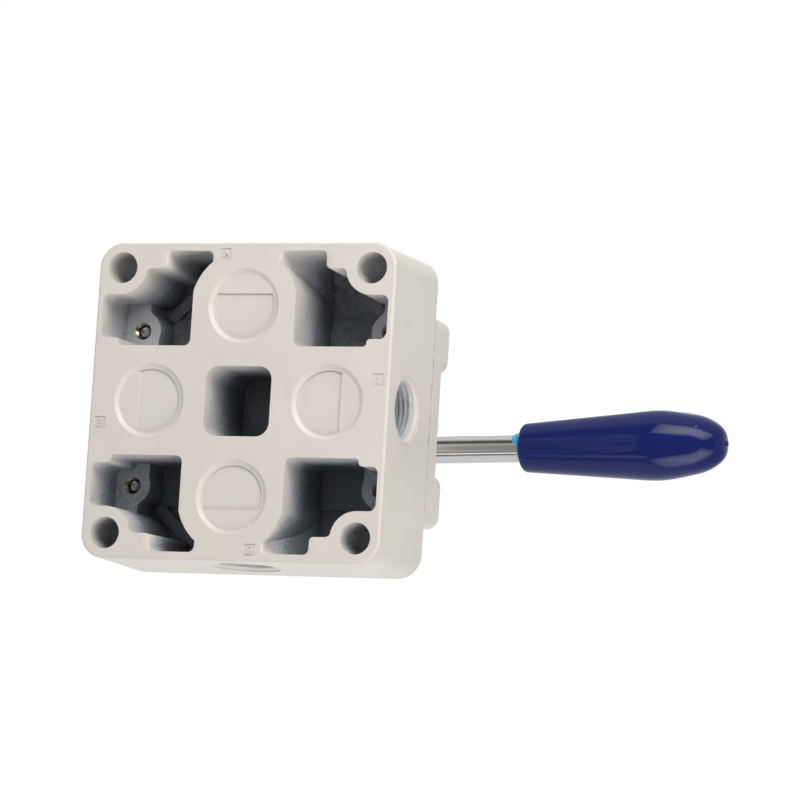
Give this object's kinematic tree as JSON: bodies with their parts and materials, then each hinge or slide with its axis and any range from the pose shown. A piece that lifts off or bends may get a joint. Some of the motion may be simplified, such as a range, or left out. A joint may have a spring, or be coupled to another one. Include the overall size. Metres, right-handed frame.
{
  "type": "hand lever air valve",
  "caption": "Square base-mounted rotary air valve with side ports, an open ribbed underside, a domed cover and a side lever with a moulded grip.",
  "frame": {"origin": "centre of the four mounting holes on the mounting face, on the lever's axis", "axes": "+Z from the mounting face up to the lever, +X towards the grip, +Y along the side of the body"},
  "size_m": [0.1591, 0.0914, 0.1195],
  "materials": {
    "body_paint": "satin warm grey paint on die-cast aluminium",
    "cover_paint": "satin light grey paint on die-cast aluminium",
    "hub_paint": "satin light grey paint on die-cast metal",
    "gasket_rubber": "matt black sheet rubber",
    "zinc_screws": "bright zinc-plated steel",
    "zinc_washers": "bright zinc-plated steel",
    "black_screws": "black oxide steel",
    "ptfe": "white filled PTFE",
    "nitrile": "black nitrile rubber",
    "ground_steel": "ground steel",
    "bearing_steel": "polished bearing steel",
    "spring_steel": "drawn spring steel",
    "bronze": "sintered bronze",
    "brass": "turned brass",
    "resin": "natural acetal resin",
    "chrome_plate": "polished chrome plate on steel",
    "grip_plastic": "glossy dark blue moulded plastic"
  },
  "bodies": {
    "valve_body": {"body_casting": "body_paint", "cover_gasket": "gasket_rubber", "cover_casting": "cover_paint", "cover_screws": "zinc_screws", "cover_screw_washers": "zinc_washers", "port_seal_rings": "ptfe", "port_seal_o_rings": "nitrile", "rotor_pivot_pin": "ground_steel", "spindle_bush": "bronze", "thrust_washer": "bronze", "spindle_lip_seal": "nitrile", "detent_plate": "ground_steel", "detent_plate_pins": "ground_steel"},
    "lever": {"rotor": "resin", "rotor_spring": "spring_steel", "spindle": "ground_steel", "spindle_o_ring": "nitrile", "lever_hub": "hub_paint", "hub_washer": "zinc_washers", "hub_screw": "black_screws", "rod_set_screw": "black_screws", "lever_rod": "chrome_plate", "grip_insert": "brass", "lever_grip": "grip_plastic", "detent_spring_1": "spring_steel", "detent_spring_2": "spring_steel"},
    "ball_1": {"detent_ball_1": "bearing_steel"},
    "ball_2": {"detent_ball_2": "bearing_steel"}
  },
  "joints": [
    {"name": "lever_turn", "type": "hinge", "parent": "valve_body", "child": "lever", "pos_m": [0, 0, 0.104], "axis": [0, 0, 1], "range_deg": [-43.3, 46.7]},
    {"name": "ball_1_lift", "type": "slide", "parent": "lever", "child": "ball_1", "axis": [0, 0, 1], "range_m": [0, 0.0006], "stiffness_N_per_m": 300, "springref_m": -0.002, "deforming": ["detent_spring_1"]},
    {"name": "ball_2_lift", "type": "slide", "parent": "lever", "child": "ball_2", "axis": [0, 0, 1], "range_m": [0, 0.0006], "stiffness_N_per_m": 300, "springref_m": -0.002, "deforming": ["detent_spring_2"]}
  ]
}
